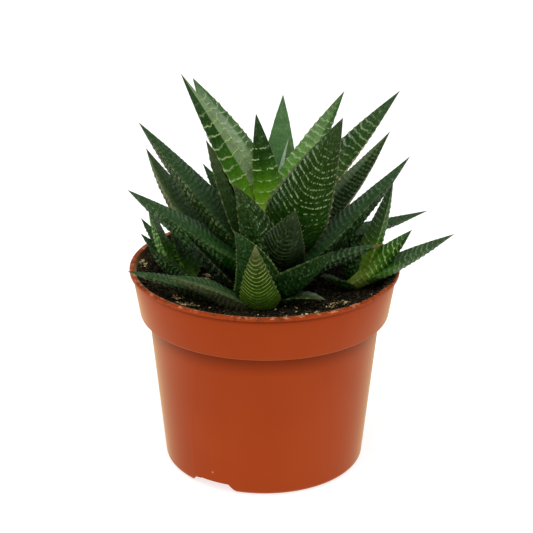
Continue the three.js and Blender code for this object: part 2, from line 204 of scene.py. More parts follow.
def new_material(name):
    """A material with its surface shader, and the Object coordinates that its patterns read."""
    material = bpy.data.materials.new(name)
    material.use_nodes = True
    tree = material.node_tree
    shader = tree.nodes["Principled BSDF"]
    place = Socket(tree, tree.nodes.new("ShaderNodeTexCoord").outputs["Object"])
    return material, shader, place


def paint(shader, **values):
    """Sets the shader's sockets, spaces in their names written as _, to values or links."""
    for name, value in values.items():
        socket = shader.inputs[name.replace("_", " ")]
        if isinstance(value, Socket):
            value.tree.links.new(value.output, socket)
        else:
            socket.default_value = value


def terracotta_plastic():
    """Satin plastic, painted shade under lip and band, scuffed and dusty at the lip, and darker on the
    inside wall.
    """
    clay, warm_clay = srgb(158, 60, 22), srgb(167, 67, 28)
    painted_shade_brown, lip_brown = srgb(84, 26, 4), srgb(120, 44, 18)
    scratch_pink, dust_brown, inner_wall_brown = srgb(214, 150, 112), srgb(70, 46, 28), srgb(26, 16, 8)
    lip_foot = POT_HEIGHT - LIP_HEIGHT
    soil_line_from, soil_line_to = 80 * MM, 84 * MM
    band_slope = (BAND_TOP_RADIUS - BAND_BOTTOM_RADIUS) / (POT_HEIGHT - BAND_BOTTOM_Z)

    material, shader, place = new_material("terracotta_plastic")
    height = place.add("ShaderNodeSeparateXYZ", {}, {"Vector": place}, output=2)
    from_axis = place.add("ShaderNodeVectorMath", {"operation": "SUBTRACT"}, {0: place, 1: POT_AXIS})
    flat = place.add("ShaderNodeVectorMath", {"operation": "MULTIPLY"}, {0: from_axis, 1: (1, 1, 0)})
    reach = place.add("ShaderNodeVectorMath", {"operation": "LENGTH"}, {0: flat}, output=1)
    band_reach = (height - BAND_BOTTOM_Z) * band_slope + BAND_BOTTOM_RADIUS

    cloud = place.noise(14, 3)
    body = cloud.between(0.3, 0.7).mix(clay, warm_clay)
    on_body = 1 - height.between(BAND_BOTTOM_Z - 0.5 * MM, BAND_BOTTOM_Z + 0.5 * MM)
    # Painted shade: the body is darkened for 11 mm under the band's overhang.
    painted_shade_under_band = height.between(BAND_BOTTOM_Z - 11 * MM, BAND_BOTTOM_Z) * on_body
    body = (painted_shade_under_band * 0.6).mix(body, painted_shade_brown)
    # Painted shade: a thin dark line just under the lip's bead.
    painted_shade_under_lip = height.between(lip_foot - 2 * MM, lip_foot)
    painted_shade_under_lip = painted_shade_under_lip * (1 - height.between(lip_foot, lip_foot + 0.4 * MM))
    body = (painted_shade_under_lip * 0.7).mix(body, painted_shade_brown)
    lip = height.between(POT_HEIGHT - 0.6 * MM, POT_HEIGHT - 0.1 * MM)
    body = (lip * 0.5).mix(body, lip_brown)
    scuff = place.noise(240, 4, 0.7).between(0.5, 0.62) * lip
    body = (scuff * 0.6).mix(body, scratch_pink)
    speck = 1 - place.cells(60.0).between(0.02, 0.045)
    body = (speck * 0.5).mix(body, scratch_pink)
    dust = place.noise(330, 5, 0.75).between(0.52, 0.62) * height.between(POT_HEIGHT - 4 * MM, POT_HEIGHT)
    body = (dust * 0.6).mix(body, dust_brown)
    # The inside wall is darker from near the soil's top up to the lip.
    inside = (band_reach - reach).between(0.4 * MM, 0.8 * MM)
    darker_inner_wall = inside * height.between(soil_line_from, soil_line_to) * (1 - lip)
    body = (darker_inner_wall * 0.95).mix(body, inner_wall_brown)
    grain = place.noise(1400, 2) + 2 * cloud
    paint(
        shader, Base_Color=body, Roughness=0.38 + 0.1 * cloud + 0.2 * dust,
        Normal=place.bump(grain, strength=0.08, distance=0.0002),
        Specular_IOR_Level=0.04, Specular_Tint=(1, 0.68, 0.36, 1),
        Sheen_Weight=0.7, Sheen_Roughness=0.3, Sheen_Tint=(1, 0.74, 0.34, 1),
    )
    return material


def cut(piece, cutters):
    """Cuts these closed bmeshes out of a piece, and keeps the result as its mesh."""
    for cutter_bm in cutters:
        mesh = bpy.data.meshes.new("cutter")
        cutter_bm.to_mesh(mesh)
        cutter_bm.free()
        cutter = bpy.data.objects.new("cutter", mesh)
        bpy.context.collection.objects.link(cutter)
        modifier = piece.modifiers.new("cut", "BOOLEAN")
        modifier.operation = "DIFFERENCE"
        modifier.solver = "EXACT"
        modifier.object = cutter
        bpy.context.view_layer.update()
        graph = bpy.context.evaluated_depsgraph_get()
        piece_mesh = bpy.data.meshes.new_from_object(piece.evaluated_get(graph))
        piece.modifiers.clear()
        piece.data = piece_mesh
        bpy.data.objects.remove(cutter)


def drain_notch(bearing):
    """A wedge through the foot ring, wider at the foot than at its head."""
    bm = bmesh.new()
    bmesh.ops.create_cube(bm, size=1)
    inner = BODY_BOTTOM_RADIUS - CORNER_RADIUS - FOOT_RING_WIDTH - WALL
    below = 1 * MM
    slope = (NOTCH_FOOT_WIDTH - NOTCH_HEAD_WIDTH) / 2 / NOTCH_HEIGHT
    for vert in bm.verts:
        top = vert.co.z > 0
        half = NOTCH_HEAD_WIDTH / 2 if top else NOTCH_FOOT_WIDTH / 2 + slope * below
        vert.co.y = math.copysign(half, vert.co.y)
        vert.co.x = BODY_BOTTOM_RADIUS + 5 * MM if vert.co.x > 0 else inner
        vert.co.z = NOTCH_HEIGHT if top else -below
    bmesh.ops.rotate(bm, verts=bm.verts, cent=(0, 0, 0), matrix=Matrix.Rotation(bearing, 3, "Z"))
    bmesh.ops.translate(bm, verts=bm.verts, vec=POT_AXIS)
    return bm


def drain_hole(bearing):
    """A round plug through the floor, to be cut out of it."""
    bm = bmesh.new()
    place = Vector((DRAIN_CIRCLE_RADIUS * math.cos(bearing), DRAIN_CIRCLE_RADIUS * math.sin(bearing), 0))
    bmesh.ops.create_cone(
        bm, cap_ends=True, segments=32, radius1=DRAIN_HOLE_RADIUS, radius2=DRAIN_HOLE_RADIUS,
        depth=4 * FLOOR_TOP_Z, matrix=Matrix.Translation(POT_AXIS + place)
    )
    return bm


ring_radius = BODY_BOTTOM_RADIUS - CORNER_RADIUS
shelf_z = BAND_BOTTOM_Z + WALL
pot = turned([
    (0, FLOOR_UNDERSIDE_Z),
    (ring_radius - FOOT_RING_WIDTH - WALL, FLOOR_UNDERSIDE_Z),
    (ring_radius - FOOT_RING_WIDTH, 0),
    (BODY_BOTTOM_RADIUS, 0),
    (BODY_TOP_RADIUS, BAND_BOTTOM_Z),
    (BAND_BOTTOM_RADIUS, BAND_BOTTOM_Z),
    (BAND_TOP_RADIUS, POT_HEIGHT - LIP_HEIGHT),
    (LIP_RADIUS, POT_HEIGHT - LIP_HEIGHT),
    (LIP_RADIUS, POT_HEIGHT),
    (inner_band_radius(POT_HEIGHT), POT_HEIGHT),
    (inner_band_radius(shelf_z), shelf_z),
    (inner_body_radius(shelf_z), shelf_z),
    (inner_body_radius(FLOOR_TOP_Z + CORNER_RADIUS), FLOOR_TOP_Z + CORNER_RADIUS),
    (inner_body_radius(FLOOR_TOP_Z) - CORNER_RADIUS / 2, FLOOR_TOP_Z),
    (0, FLOOR_TOP_Z),
], POT_STEPS)
round_rings(pot, BODY_BOTTOM_RADIUS, 0, CORNER_RADIUS, 6)
round_rings(pot, LIP_RADIUS, POT_HEIGHT, 0.7 * MM, 4)
round_rings(pot, LIP_RADIUS, POT_HEIGHT - LIP_HEIGHT, 0.3 * MM, 2)
round_rings(pot, inner_band_radius(POT_HEIGHT), POT_HEIGHT, 0.6 * MM, 3)
round_rings(pot, BAND_BOTTOM_RADIUS, BAND_BOTTOM_Z, 0.8 * MM, 3)
round_rings(pot, BODY_TOP_RADIUS, BAND_BOTTOM_Z, 0.5 * MM, 2)
pot_piece = finished("moulded_pot", pot, terracotta_plastic(), "root", "pot")
cut(pot_piece, [
    drain_notch(NOTCH_BEARING),
    drain_notch(NOTCH_BEARING + math.pi),
    *[drain_hole(NOTCH_BEARING + (i + 0.5) * 2 * math.pi / DRAIN_HOLES) for i in range(DRAIN_HOLES)],
])


# Soil: dark peaty potting mix, about 6 mm under the lip at the plant and banked up nearly to it at the
# wall. It is one plug, turned to follow the pot's inside with a thin gap all round, and its top is cut into
# fine cells and roughened.
GAP = 0.35 * MM
SOIL_Z = 86 * MM
SOIL_EDGE_Z = 89 * MM
SOIL_RISE_TO_RIGHT = 0.014
SOIL_BANK_HEIGHT = 4.8 * MM
SOIL_BANK_REACH = 12 * MM
SOIL_SINK = 0.3
CALM_FROM, CALM_REACH = 4 * MM, 12 * MM
CRUMB_RELIEF = 1.3 * MM
SOIL_RINGS = 64
SOIL_STEPS = 288

# Where each stem leaves the soil, as its x and y from the pot's axis and its radius, in mm
STEM_FEET = {"main": (1, -19, 11), "left": (-34, 3, 5), "right": (40, -10, 6)}


def clear_of_stems(x, y):
    """How far a place is from the nearest stem's side, all from the pot's axis."""
    return min(math.hypot(x - fx * MM, y - fy * MM) - fr * MM for fx, fy, fr in STEM_FEET.values())


def soil_height(x, y):
    """Height of the soil over the pot's foot at a place measured from the pot's axis."""
    calm = min(1, max(0, (clear_of_stems(x, y) - CALM_FROM) / CALM_REACH))
    bank = min(1, max(0, 1 - (inner_band_radius(SOIL_Z) - math.hypot(x, y)) / SOIL_BANK_REACH))
    spot = Vector((x, y, 0)) / MM
    lumps = noise.noise(spot * 0.11) * 0.7 + noise.noise(spot * 0.33) * 0.5
    crumbly = noise.noise(spot * 0.9) * 0.5 + noise.noise(spot * 2.1) * 0.3
    rise = SOIL_RISE_TO_RIGHT * x + SOIL_BANK_HEIGHT * bank + (lumps - SOIL_SINK) * MM
    return SOIL_Z + calm * rise + crumbly * CRUMB_RELIEF


def potting_mix():
    """Moist peat, nearly black, with brown fibres and a few pale bits of bark."""
    peat, dark_earth = srgb(6, 9, 3), srgb(28, 28, 14)
    fibre_brown, bark_brown, pale_bark = srgb(76, 70, 46), srgb(104, 80, 60), srgb(168, 144, 98)

    material, shader, place = new_material("potting_mix")
    grain = place.noise(700, 5, 0.75)
    patch = place.noise(120, 3)
    earth = patch.between(0.35, 0.65).mix(peat, dark_earth)
    earth = (grain.between(0.52, 0.7) * 0.7).mix(earth, fibre_brown)
    bark = place.noise(1100, 3, 0.6).between(0.56, 0.64)
    earth = (bark * 0.8).mix(earth, bark_brown)
    pale = place.noise(260, 4, 0.7).between(0.64, 0.7) * (1 - place.cells(620.0).between(0.2, 0.45))
    earth = (pale * 0.8).mix(earth, pale_bark)
    rough_top = place.bump(grain + 0.6 * patch, strength=0.9, distance=0.0006)
    paint(shader, Base_Color=earth, Roughness=0.92, Normal=rough_top, Specular_IOR_Level=0.1)
    return material


edge_radius = inner_band_radius(SOIL_EDGE_Z) - GAP
plug_shelf_z = shelf_z + GAP
soil = turned([
    (0, FLOOR_TOP_Z + GAP),
    (inner_body_radius(FLOOR_TOP_Z) - CORNER_RADIUS / 2 - GAP, FLOOR_TOP_Z + GAP),
    (inner_body_radius(FLOOR_TOP_Z + CORNER_RADIUS) - GAP, FLOOR_TOP_Z + CORNER_RADIUS + GAP),
    (inner_body_radius(plug_shelf_z) - GAP, plug_shelf_z),
    (inner_band_radius(plug_shelf_z) - GAP, plug_shelf_z),
    *[(edge_radius * (1 - i / SOIL_RINGS), SOIL_Z) for i in range(SOIL_RINGS)],
    (0, SOIL_Z),
], SOIL_STEPS)
for vert in soil.verts:
    if vert.co.z > SOIL_Z - NEAR:
        local = vert.co - POT_AXIS
        vert.co.z = POT_AXIS.z + soil_height(local.x, local.y)
POTTING_MIX = potting_mix()
finished("soil_plug", soil, POTTING_MIX, "root", "soil", 60)


# Loose soil: crumbs and larger lumps of the same mix that lie all over its top, clear of the stems.
# Each is a small ball of few faces, bent out of shape by noise, turned, and pressed in a little.
BITS_IN_A_BATCH = 50
SCATTER_REACH = 57
random.seed(7)


def scattered_bits(name, count, sizes, place_of, material, flat=0.6):
    """A heap of bits with radii of about these sizes in mm. place_of gives the x and y of each, and the
    height in mm over the pot's foot that it has at least."""
    heap = bmesh.new()
    for batch in range(count // BITS_IN_A_BATCH):
        bm = bmesh.new()
        for number in range(BITS_IN_A_BATCH):
            x, y, raised = place_of()
            size = random.uniform(*sizes) * MM * random.choice((0.6, 0.8, 1, 1, 1.4))
            lump = bmesh.ops.create_icosphere(bm, subdivisions=1, radius=size)["verts"]
            long, broad, high = (0.7, 1.5), (0.5, 1), (0.4, flat + 0.3)
            stretch = Vector((random.uniform(*long), random.uniform(*broad), random.uniform(*high)))
            turn = Matrix.Rotation(random.uniform(0, 6.3), 3, "Z")
            turn = turn @ Matrix.Rotation(random.uniform(-0.7, 0.7), 3, "X")
            height = max(soil_height(x, y), raised * MM) + size * random.uniform(0.05, 0.4)
            seed = Vector((batch * 9.1 + number * 1.7, 0, 0))
            for vert in lump:
                bent = vert.co * (1 + 0.5 * noise.noise(vert.co / size * 1.3 + seed)) * stretch
                vert.co = POT_AXIS + Vector((x, y, height)) + turn @ bent
        part = bpy.data.meshes.new("bits")
        bm.to_mesh(part)
        bm.free()
        heap.from_mesh(part)
        bpy.data.meshes.remove(part)
    return finished(name, heap, material, "root", "soil", 50)


def lies_on_soil(x, y, from_wall):
    """Whether a place is on the soil, at least this far from the wall and 1 mm from any stem."""
    return math.hypot(x, y) < edge_radius - from_wall and clear_of_stems(x, y) > 1 * MM


def anywhere_on_soil():
    while True:
        x = random.uniform(-SCATTER_REACH, SCATTER_REACH) * MM
        y = random.uniform(-SCATTER_REACH, SCATTER_REACH) * MM
        if lies_on_soil(x, y, 1.2 * MM):
            return x, y, 0


scattered_bits("soil_crumbs", 1600, (0.4, 1.1), anywhere_on_soil, POTTING_MIX)
scattered_bits("soil_lumps", 250, (0.9, 1.8), anywhere_on_soil, POTTING_MIX)


# Crumbs on the lip: the same mix, spilled on the lip and heaped just inside it at the right,
# where the pot was filled to the brim. Heights are in mm over the pot's foot.
BRIM = 92
SPILL_BEARING, SPILL_SPREAD = 8, 26


def on_the_lip():
    bearing = math.radians(random.gauss(SPILL_BEARING, SPILL_SPREAD))
    inside = abs(random.gauss(0, 1.3)) * MM
    reach = inner_band_radius(POT_HEIGHT) + 0.9 * MM - inside
    level = BRIM if inside < 1 * MM else BRIM - 0.7 * (inside / MM - 1)
    return reach * math.cos(bearing), reach * math.sin(bearing), level


scattered_bits("lip_crumbs", 400, (0.4, 1), on_the_lip, POTTING_MIX)


# Grit: straw-coloured grains of bark and stone that lie in small clumps on the soil, most near the wall.
# Each clump is (x, y, spread) in mm from the pot's axis, and one wide one strews single grains.
GRIT_CLUMPS = [
    (-56.5, 11.5, 1), (-56, 6, 1.2), (-55.5, 17, 1), (-56, 8, 2), (-24.5, 1.5, 1.2), (-26.3, -2.5, 1.2),
    (-37.9, -22.5, 1.2), (-33.7, -33.5, 1.4), (-29.6, -31.7, 1.2), (-36, -30, 2.4), (-10.3, -50.2, 0.8),
    (1.5, -54, 1.1), (16.2, -50.1, 1.2), (21.8, -45.8, 0.8), (29.8, -33.7, 1.2), (34.1, -32.6, 1.5),
    (32.5, -31, 2.2), (44.9, -23.8, 1.2), (10, -40, 14), (8, 40, 4), (-20, 44, 4), (36, 32, 4),
]


def in_a_clump():
    while True:
        x, y, spread = random.choice(GRIT_CLUMPS)
        x = random.gauss(x, spread) * MM
        y = random.gauss(y, spread * 0.7) * MM
        if lies_on_soil(x, y, 0.8 * MM):
            return x, y, 0


def pale_grit():
    straw, cream = srgb(134, 112, 56), srgb(232, 212, 152)
    material, shader, place = new_material("pale_grit")
    colour = place.noise(450, 2).between(0.35, 0.65).mix(straw, cream)
    rough_skin = place.bump(place.noise(2500, 3), strength=0.4, distance=0.0003)
    paint(shader, Base_Color=colour, Roughness=0.8, Normal=rough_skin)
    return material


scattered_bits("grit", 850, (0.25, 0.6), in_a_clump, pale_grit(), flat=0.8)


# Crown leaves of the main rosette: the youngest and brightest, fleshy, most with pale ridges across both
# faces. Each leaf starts as a capped tube cut into rings, and every point of it is laid on the leaf's form.
# What the skin shows at a point is kept in the mesh's attributes, which the material reads.
TUBE_SIDES = 56
RING_STEP = 0.45 * MM
ROOT_LENGTH = 5 * MM
STEM_FOOT = 86
FACE_SWELL = 0.3 * MM
RIM = 0.95
LEAF_VALUES = ("phase", "pitch", "wide", "seed", "stroke", "broken", "grain", "mark", "knobs", "painted_glint")

# What the skin looks like from the leaf's foot to its tip, as (share of the length, colour)
TONES = {
    "spring": [(0, (150, 186, 62)), (0.16, (104, 156, 24)), (0.38, (56, 104, 12)), (0.6, (30, 62, 16)),
               (1, (50, 72, 44))],
    "window": [(0, (112, 152, 56)), (0.3, (128, 156, 96)), (0.6, (142, 164, 128)), (1, (84, 112, 74))],
    "glassy": [(0, (44, 98, 28)), (0.35, (72, 112, 62)), (1, (80, 114, 70))],
    "lime": [(0, (78, 134, 20)), (0.25, (80, 132, 32)), (0.6, (100, 134, 78)), (1, (70, 96, 56))],
    "bronze": [(0, (30, 66, 2)), (0.3, (26, 62, 2)), (0.55, (28, 54, 4)), (0.8, (40, 62, 24)),
               (1, (54, 70, 42))],
    "umber": [(0, (6, 18, 2)), (0.4, (12, 26, 4)), (0.8, (26, 40, 16)), (1, (56, 66, 42))],
    "lush": [(0, (112, 152, 30)), (0.3, (62, 124, 10)), (0.7, (40, 92, 16)), (1, (50, 84, 32))],
    "sprout": [(0, (178, 198, 84)), (0.22, (126, 164, 38)), (0.5, (56, 112, 14)), (1, (42, 80, 28))],
    "sage": [(0, (66, 122, 26)), (0.35, (54, 92, 36)), (1, (78, 100, 62))],
    "night": [(0, (6, 14, 2)), (0.5, (10, 20, 6)), (1, (40, 52, 36))],
    "olive": [(0, (66, 82, 20)), (0.3, (52, 80, 18)), (0.6, (34, 64, 18)), (1, (56, 82, 52))],
    "deep": [(0, (12, 54, 0)), (0.3, (12, 46, 2)), (0.7, (18, 48, 8)), (1, (36, 62, 28))],
    "slate": [(0, (20, 74, 0)), (0.35, (20, 62, 4)), (0.7, (24, 56, 16)), (1, (46, 74, 38))],
    "ash": [(0, (16, 42, 4)), (0.5, (38, 60, 22)), (1, (74, 86, 54))],
    "smoke": [(0, (22, 50, 2)), (0.4, (30, 54, 12)), (1, (62, 80, 46))],
    "moss": [(0, (122, 172, 22)), (0.3, (66, 116, 6)), (0.55, (40, 66, 6)), (0.85, (58, 66, 30)),
             (1, (120, 116, 78))],
    "dusk": [(0, (8, 30, 0)), (0.4, (16, 44, 2)), (0.8, (32, 56, 14)), (1, (62, 72, 40))],
    "shoot": [(0, (120, 164, 46)), (0.22, (70, 126, 22)), (0.5, (30, 76, 12)), (1, (42, 66, 28))],
    "leafy": [(0, (62, 108, 10)), (0.4, (22, 66, 6)), (1, (42, 66, 28))],
}

# How the ridges are drawn: their spacing on the under and over face in mm, how far they sag underneath as
# a share of the leaf's half width, about half the width of a line in mm, how much of it is missing, how
# short its dashes are, how much it waves, how strongly it marks the skin, the shares of the length between
# which it fades, and how much more is missing near the foot
MARKS = {
    "bars": dict(under=3.0, over=5.2, sag=0.42, stroke=0.26, broken=0.38, grain=0.28, wave=0.24, mark=0.8,
                 fade=(0.6, 0.85), ragged=0.1),
    "dashes": dict(under=3.0, over=4.7, sag=0.42, stroke=0.25, broken=0.52, grain=0.42, wave=0.16, mark=0.9,
                   fade=(0.55, 0.85)),
    "stripes": dict(under=3.0, over=3.4, sag=0.42, stroke=0.26, broken=0.42, grain=0.4, wave=0.3, mark=0.85,
                    fade=(0.7, 0.95), ragged=0.08),
    "veil": dict(under=3.0, over=3.6, sag=0.42, stroke=0.28, broken=0.44, grain=0.5, wave=0.6, mark=0.7),
    "plain": dict(under=3.2, over=4.4, sag=0.42, stroke=0.2, broken=0.55, grain=0.9, wave=0.2, mark=0.15),
    "arcs": dict(under=2.9, over=4.0, sag=0.42, stroke=0.29, broken=0.5, grain=1.1, wave=0.36, mark=0.85,
                 fade=(0.5, 0.95), ragged=0.14),
    "beads": dict(under=3.0, over=3.2, sag=0.42, stroke=0.3, broken=0.55, grain=1.1, wave=0.3, mark=0.8),
    "net": dict(under=2.2, over=2.2, sag=0.42, stroke=0.4, broken=0.42, grain=0.5, wave=0.9, mark=0.9,
                fade=(0.4, 0.9)),
    "dots": dict(under=1.9, over=1.9, sag=0.42, stroke=0.3, broken=0.51, grain=1.5, wave=0.4, mark=1.0,
                 fade=(0.7, 0.95)),
    "ribs": dict(under=2.1, over=2.0, sag=0.5, stroke=0.34, broken=0.44, grain=0.5, wave=0.3, mark=0.9),
    "threads": dict(under=2.0, over=2.0, sag=0.5, stroke=0.26, broken=0.36, grain=0.5, wave=0.06, mark=0.9,
                    fade=(0.55, 0.9)),
    "hoops": dict(under=1.6, over=3.0, sag=0.42, stroke=0.17, broken=0.34, grain=0.6, wave=0.1, mark=0.9,
                  fade=(0.6, 0.97)),
    "dull": dict(under=2.3, over=2.3, sag=0.42, stroke=0.5, broken=0.53, grain=1.2, wave=0.5, mark=0.85),
    "rungs": dict(under=2.4, over=2.6, sag=0.34, stroke=0.32, broken=0.46, grain=0.6, wave=0.15, mark=1.0,
                  fade=(0.7, 0.95)),
}


def smooth(low, high, value):
    """0 at low, 1 at high, and smooth from one to the other."""
    share = min(1, max(0, (value - low) / (high - low)))
    return share * share * (3 - 2 * share)


def tone_at(tone, t):
    """The colour of a tone at a share of the leaf's length."""
    stops = TONES[tone]
    for (low, first), (high, second) in zip(stops, stops[1:]):
        if t <= high:
            break
    share = min(1, max(0, (t - low) / (high - low)))
    return srgb(*(a + (b - a) * share for a, b in zip(first, second)))


# What a leaf's skin shows unless the leaf says otherwise: its tone, its ridges and their colour under and
# over, how knobbly it is, its rim's colour and strength, a line on the keel, a side of another colour, which
# on some leaves is a painted highlight, the share of the length from which its tip is dry, its painted
# glints, which are highlights, and the side that has them, and where across the leaf its ridges begin and
# reach full strength. Across runs from -1 at one edge to 1 at the other.
PLAIN_SKIN = dict(
    tone="deep", marks="dull", lines=(92, 124, 72), over_lines=None, knobs=0.8,
    margin=((150, 150, 96), 0.35), keel_line=0, band=None, dry=None, painted_glint=0.6, painted_glint_side=None,
    marked=(-3, -2),
)

# Colours of the tip, of a dry tip and of upper faces; on leaves of the dark tones the upper faces are
# painted lighter green, as painted light from above
TIP_BROWN = (96, 84, 58)
DRY_BROWN = (128, 84, 48)
LIT_UPPER_GREEN = (60, 98, 54)
TONES_WITH_LIT_UPPER_FACES = ("deep", "slate", "smoke")


def leaf_axes(foot, chord, faces, roll):
    """Unit vectors along a leaf, to its side and out of its upper face, which looks up or to a bearing."""
    along = chord.normalized()
    up = Vector((0, 0, 1))
    if faces is not None:
        bearing = math.radians(faces)
        up = Vector((-math.cos(bearing), -math.sin(bearing), 0))
    normal = (up - along * up.dot(along)).normalized()
    turn = Matrix.Rotation(math.radians(roll), 3, along)
    return along, turn @ along.cross(normal), turn @ normal


def leaf_face(share, across, under, half, half_width, flesh):
    """The height of a face over the leaf's middle plane, and the way that it looks, across and up."""
    swell = FACE_SWELL * math.sqrt(max(0, 1 - across * across)) * (half / half_width)
    if under:
        keel = 2.1 - 0.8 * share
        height = -(1 - abs(across) ** keel) * flesh * half - swell
        outward = Vector((keel * abs(across) ** (keel - 1) * flesh * math.copysign(1, across), -1))
    else:
        height = -0.1 * (1 - across * across) * half * (1 - share) + swell
        outward = Vector((0, 1))
    if abs(across) > RIM:
        outward = Vector((math.copysign(1, across), 0))
    return height, outward.normalized()


def ridge_at(marks, seed, distance, share, across, under, half):
    """The ridges' spacing, how many lie between the foot and a point, and how high it is on one, 0 to 1."""
    pitch = marks["under" if under else "over"]
    step = distance / MM / pitch
    sag = marks["sag"] * (0.6 + 0.6 * share) if under else 0.15
    shift = marks["wave"] * noise.noise(Vector((across * 2.4, step * 0.8, seed + 20 * under)))
    shift += 0.3 * marks["wave"] * noise.noise(Vector((across * 6, step * 1.7, seed)))
    phase = step + sag * half / MM * (0.5 - across * across) / pitch + shift
    crest = (0.5 + 0.5 * math.cos(2 * math.pi * phase)) ** 3
    return pitch, phase, crest


def skin_tint(skin, seed, t, across, under, crest, upright):
    """The colour of the skin between its ridges, t being the share of the length, below 0 in the root."""
    share = max(t, 0)
    patchy = noise.noise(Vector((across * 1.5, share * 4, seed + 3))) * 0.16
    edge_shade = 0.86 + 0.14 * math.sqrt(max(0, 1 - across * across))
    colour = Vector(tone_at(skin["tone"], share)) * ((1 + patchy) * edge_shade)
    if skin["band"] is not None:
        (from_across, to_across), band_colour = skin["band"]
        colour = colour.lerp(Vector(srgb(*band_colour)), 0.85 * smooth(from_across, to_across, across))
    rim_colour, rim_share = skin["margin"]
    rim = smooth(0.93, 0.99, abs(across)) * rim_share * (0.35 + 1.1 * crest)
    on_keel = (1 - smooth(0.02, 0.09, abs(across))) * smooth(0.25, 0.4, t) if under else 0
    colour = colour.lerp(Vector(srgb(*rim_colour)), max(rim, skin["keel_line"] * on_keel))
    colour = colour.lerp(Vector(srgb(*TIP_BROWN)), smooth(0.955, 0.99, t) * 0.5)
    if skin["dry"] is not None:
        dryness = smooth(skin["dry"] - 0.03, skin["dry"] + 0.03, t + 0.4 * patchy)
        colour = colour.lerp(Vector(srgb(*DRY_BROWN)), dryness)
    # Painted light: upper faces of leaves of the dark tones are lighter green, as if lit from above.
    if not under and not upright and skin["tone"] in TONES_WITH_LIT_UPPER_FACES:
        colour = colour.lerp(Vector(srgb(*LIT_UPPER_GREEN)), 0.3)
    return colour


def painted_glint_at(skin, painted_glint_side, t, across, under, upright):
    """How strongly the painted highlight shows at a point: towards one side, and underneath on upright
    leaves only.
    """
    reach = across * painted_glint_side
    if under:
        lit = smooth(0.5, 0.9, reach) if upright else 0
    else:
        lit = smooth(-0.2, 0.7, reach)
    return lit * (skin["painted_glint"] * smooth(0.12, 0.35, t) * (1 - smooth(0.6, 0.9, t)))


def add_leaf(bm, stem, seed, foot, tip, width, bow=0, sway=0, roll=0, faces=None, taper=2.0, flesh=0.5,
             skew=0, relief=1.0, **own_skin):
    """Adds one leaf to bm. Its foot and tip are in mm from the pot's axis and foot, and so are its width
    and how far it bows up and sways sideways. It rolls by degrees and may face a bearing, in degrees too.
    A high taper keeps it broad far up, flesh is its depth underneath, and skew makes one side wider."""
    skin = {**PLAIN_SKIN, **own_skin}
    marks = MARKS[skin["marks"]]
    fade_from, fade_to = marks.get("fade", (0.8, 0.95))
    upright = faces is not None
    foot = Vector(foot) * MM
    chord = Vector(tip) * MM - foot
    length = chord.length
    half_width = width / 2 * MM
    along, side, normal = leaf_axes(foot, chord, faces, roll)
    painted_glint_side = skin["painted_glint_side"] or math.copysign(1, side.y)
    stem_x, stem_y, lean_x, lean_y = stem
    rise = foot.z / MM - STEM_FOOT
    inward = Vector((stem_x + lean_x * rise, stem_y + lean_y * rise, foot.z / MM)) * MM - foot
    inward -= along * inward.dot(along)

    rings = round((length + ROOT_LENGTH) / RING_STEP)
    tube = bmesh.new()
    bmesh.ops.create_cone(tube, cap_ends=True, segments=TUBE_SIDES, radius1=1, radius2=1, depth=1)
    lengthwise = [edge for edge in tube.edges if abs(edge.verts[0].co.z - edge.verts[1].co.z) > 0.5]
    bmesh.ops.subdivide_edges(tube, edges=lengthwise, cuts=rings - 1)
    layers = {name: tube.verts.layers.float.new(name) for name in LEAF_VALUES}
    tint = tube.verts.layers.float_color.new("tint")
    crest_tint = tube.verts.layers.float_color.new("crest_tint")

    def centre(t):
        arch = 4 * t * (1 - t) * MM
        return foot + chord * t + normal * (bow * arch) + side * (sway * arch)

    for vert in tube.verts:
        angle = math.atan2(vert.co.y, vert.co.x)
        under = angle < -1e-6
        across = 1 - 2 * abs(angle) / math.pi
        distance = (vert.co.z + 0.5) * (length + ROOT_LENGTH) - ROOT_LENGTH
        t = distance / length
        share = max(t, 0)
        fullness = 0.8 + 0.2 * min(1, share / 0.22)
        ripple = 1 + 0.025 * noise.noise(Vector((share * 7, seed, 0)))
        thinnest = 0.02 * MM + 0.1 * MM * (1 - share)
        half = max(half_width * (1 - share ** taper) * fullness * ripple, thinnest)
        wide = half * (1 + skew * across)
        height, outward = leaf_face(share, across, under, half, half_width, flesh)
        pitch, phase, crest = ridge_at(marks, seed, distance, share, across, under, half)
        live = smooth(0.0, 0.1, t) * (1 - smooth(fade_from, fade_to, t))
        tooth = 0.5 if abs(across) > RIM else 0.34 if under else 0.2
        lift = crest * live * relief * tooth * MM * min(1, 2.5 * half / half_width)

        forward = (centre(t + 0.001) - centre(t - 0.001)).normalized()
        normal_here = (normal - forward * normal.dot(forward)).normalized()
        side_here = forward.cross(normal_here)
        flat = side_here * (across * wide + outward.x * lift) + normal_here * (height + outward.y * lift)
        if t < 0:
            back = min(1, -distance / ROOT_LENGTH)
            vert.co = centre(0) + along * distance + inward * (0.7 * back) + flat * (1 - 0.45 * back)
        else:
            vert.co = centre(t) + flat
        vert.co += POT_AXIS

        vert[tint] = skin_tint(skin, seed, t, across, under, crest, upright)
        vert[crest_tint] = srgb(*(skin["lines"] if under else skin["over_lines"] or skin["lines"]))
        broken = marks["broken"] + marks.get("ragged", 0) * (1 - smooth(0.15, 0.4, t))
        bold = under or marks["over"] > 3.5 or marks["mark"] == 1
        mark = marks["mark"] * live * (1 if bold else 0.5) * smooth(*skin["marked"], across)
        knobs = skin["knobs"] * (1 if under else 0.4) * smooth(0.05, 0.3, t)
        lit = painted_glint_at(skin, painted_glint_side, t, across, under, upright)
        values = (phase, pitch, across * half / MM, seed, marks["stroke"], broken, marks["grain"], mark,
                  knobs, lit)
        for name, value in zip(LEAF_VALUES, values):
            vert[layers[name]] = value

    grown = bpy.data.meshes.new("leaf")
    tube.to_mesh(grown)
    tube.free()
    bm.from_mesh(grown)
    bpy.data.meshes.remove(grown)


